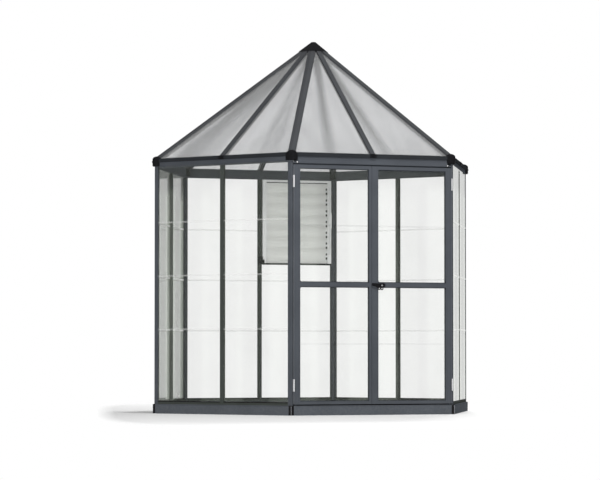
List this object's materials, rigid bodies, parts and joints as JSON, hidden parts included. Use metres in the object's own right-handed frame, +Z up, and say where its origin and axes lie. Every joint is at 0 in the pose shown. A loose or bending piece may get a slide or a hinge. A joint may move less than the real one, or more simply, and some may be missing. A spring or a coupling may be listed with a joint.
{
  "type": "hexagonal greenhouse",
  "caption": "Free-standing hexagonal greenhouse with clear wall panes, a translucent ribbed roof, a pair of hinged doors with a turning handle, and a louvre window.",
  "frame": {"origin": "centre of the base's underside, level with the ground", "axes": "+Z up, the doors face -Y, +X to the right of someone facing the doors from outside"},
  "size_m": [2.445, 2.1324, 2.6398],
  "materials": {
    "frame_profile": "satin",
    "base_steel": "satin",
    "black_plastic": "matte",
    "grey_plastic": "matte",
    "clear_pane": "clear",
    "roof_sheet": "translucent",
    "hinge_metal": "satin",
    "steel_fixings": "satin"
  },
  "bodies": {
    "frame": {"apex_bolt": "steel_fixings", "apex_cap": "black_plastic", "apex_hub": "black_plastic", "base_corner_connectors": "black_plastic", "base_rails": "base_steel", "corner_posts": "frame_profile", "door_header": "frame_profile", "door_magnets": "black_plastic", "door_threshold": "frame_profile", "eave_beams": "frame_profile", "eave_bolts": "steel_fixings", "eave_corner_caps": "black_plastic", "gutter_trims": "black_plastic", "hinge_pins": "hinge_metal", "hinge_post_leaves": "hinge_metal", "hip_ribs": "frame_profile", "left_door_post": "frame_profile", "louvre_head": "frame_profile", "louvre_jambs": "frame_profile", "louvre_sill": "frame_profile", "middle_posts": "frame_profile", "middle_ribs": "frame_profile", "rib_feet": "black_plastic", "right_door_post": "frame_profile", "roof_panels": "roof_sheet", "sill_rails": "frame_profile", "wall_pane_strips": "frame_profile", "wall_panes": "clear_pane"},
    "left_door": {"left_door_gussets": "black_plastic", "left_door_hinge_leaves": "hinge_metal", "left_door_pane_strips": "frame_profile", "left_door_panes": "clear_pane", "left_door_rails": "frame_profile", "left_door_stiles": "frame_profile"},
    "right_door": {"right_door_gussets": "black_plastic", "right_door_hinge_leaves": "hinge_metal", "right_door_pane_strips": "frame_profile", "right_door_panes": "clear_pane", "right_door_rails": "frame_profile", "right_door_stiles": "frame_profile", "handle_backplate": "black_plastic"},
    "door_handle": {"door_handle": "black_plastic", "latch_tongue": "steel_fixings"},
    "louvre_blade_1": {"louvre_blade_1": "clear_pane", "louvre_clips_1": "black_plastic"},
    "louvre_blade_2": {"louvre_blade_2": "clear_pane", "louvre_clips_2": "black_plastic"},
    "louvre_blade_3": {"louvre_blade_3": "clear_pane", "louvre_clips_3": "black_plastic"},
    "louvre_blade_4": {"louvre_blade_4": "clear_pane", "louvre_clips_4": "black_plastic"},
    "louvre_blade_5": {"louvre_blade_5": "clear_pane", "louvre_clips_5": "black_plastic"},
    "louvre_blade_6": {"louvre_blade_6": "clear_pane", "louvre_clips_6": "black_plastic"},
    "louvre_blade_7": {"louvre_blade_7": "clear_pane", "louvre_clips_7": "black_plastic"},
    "louvre_link": {"louvre_link_bar": "frame_profile", "louvre_lever": "grey_plastic"}
  },
  "joints": [
    {"name": "left_door_hinge", "type": "hinge", "parent": "frame", "child": "left_door", "pos_m": [-0.58823, -1.05952, 0.8915], "axis": [0, 0, -1], "range_deg": [0, 110]},
    {"name": "right_door_hinge", "type": "hinge", "parent": "frame", "child": "right_door", "pos_m": [0.58823, -1.05952, 0.8915], "axis": [0, 0, 1], "range_deg": [0, 110]},
    {"name": "door_handle_turn", "type": "hinge", "parent": "right_door", "child": "door_handle", "pos_m": [0.01, -1.04222, 0.884], "axis": [0, 1, 0], "range_deg": [0, 90]},
    {"name": "louvre_blade_1_pivot", "type": "hinge", "parent": "frame", "child": "louvre_blade_1", "pos_m": [0.29386, 1.02822, 1.147], "axis": [1, 0, 0], "range_deg": [0, 75]},
    {"name": "louvre_blade_2_pivot", "type": "hinge", "parent": "frame", "child": "louvre_blade_2", "pos_m": [0.29386, 1.02822, 1.228], "axis": [1, 0, 0], "range_deg": [0, 75]},
    {"name": "louvre_blade_3_pivot", "type": "hinge", "parent": "frame", "child": "louvre_blade_3", "pos_m": [0.29386, 1.02822, 1.309], "axis": [1, 0, 0], "range_deg": [0, 75]},
    {"name": "louvre_blade_4_pivot", "type": "hinge", "parent": "frame", "child": "louvre_blade_4", "pos_m": [0.29386, 1.02822, 1.39], "axis": [1, 0, 0], "range_deg": [0, 75]},
    {"name": "louvre_blade_5_pivot", "type": "hinge", "parent": "frame", "child": "louvre_blade_5", "pos_m": [0.29386, 1.02822, 1.471], "axis": [1, 0, 0], "range_deg": [0, 75]},
    {"name": "louvre_blade_6_pivot", "type": "hinge", "parent": "frame", "child": "louvre_blade_6", "pos_m": [0.29386, 1.02822, 1.552], "axis": [1, 0, 0], "range_deg": [0, 75]},
    {"name": "louvre_blade_7_pivot", "type": "hinge", "parent": "frame", "child": "louvre_blade_7", "pos_m": [0.29386, 1.02822, 1.633], "axis": [1, 0, 0], "range_deg": [0, 75]},
    {"name": "louvre_link_pivot", "type": "hinge", "parent": "louvre_blade_4", "child": "louvre_link", "pos_m": [0.544, 1.00037, 1.4095], "axis": [1, 0, 0], "range_deg": [-75, 0]}
  ],
  "couplings": [
    {"joint": "louvre_blade_1_pivot", "follows": "louvre_blade_4_pivot", "ratio": 1},
    {"joint": "louvre_blade_2_pivot", "follows": "louvre_blade_4_pivot", "ratio": 1},
    {"joint": "louvre_blade_3_pivot", "follows": "louvre_blade_4_pivot", "ratio": 1},
    {"joint": "louvre_blade_5_pivot", "follows": "louvre_blade_4_pivot", "ratio": 1},
    {"joint": "louvre_blade_6_pivot", "follows": "louvre_blade_4_pivot", "ratio": 1},
    {"joint": "louvre_blade_7_pivot", "follows": "louvre_blade_4_pivot", "ratio": 1},
    {"joint": "louvre_link_pivot", "follows": "louvre_blade_4_pivot", "ratio": -1}
  ]
}
